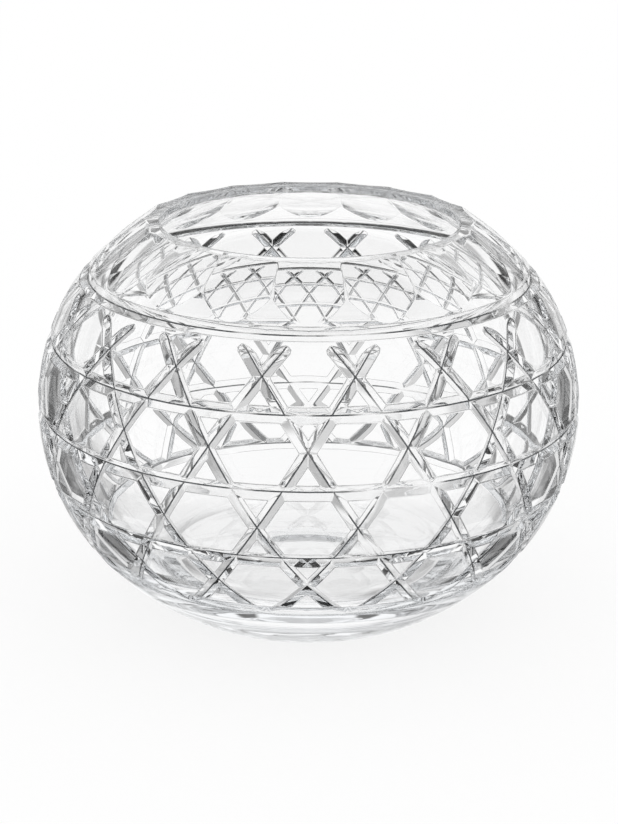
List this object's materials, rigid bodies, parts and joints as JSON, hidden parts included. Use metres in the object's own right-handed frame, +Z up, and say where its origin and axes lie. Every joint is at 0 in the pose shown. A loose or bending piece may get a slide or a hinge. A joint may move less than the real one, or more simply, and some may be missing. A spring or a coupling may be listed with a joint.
{
  "type": "rose bowl vase",
  "caption": "Round cut-crystal rose bowl with a narrow mouth, panelled neck and a cane lattice of mitre cuts, for holding low flower arrangements.",
  "frame": {"origin": "centre of the flat foot, on the surface that the bowl stands on", "axes": "+Z up along the bowl's axis, +X to the right as seen in the picture, -Y towards the viewer"},
  "size_m": [0.2, 0.2, 0.144],
  "materials": {
    "crystal": "clear colourless crystal, fire-polished inside, cut and polished outside, with a ground foot"
  },
  "bodies": {
    "root": {"crystal_bowl": "crystal"}
  },
  "joints": []
}
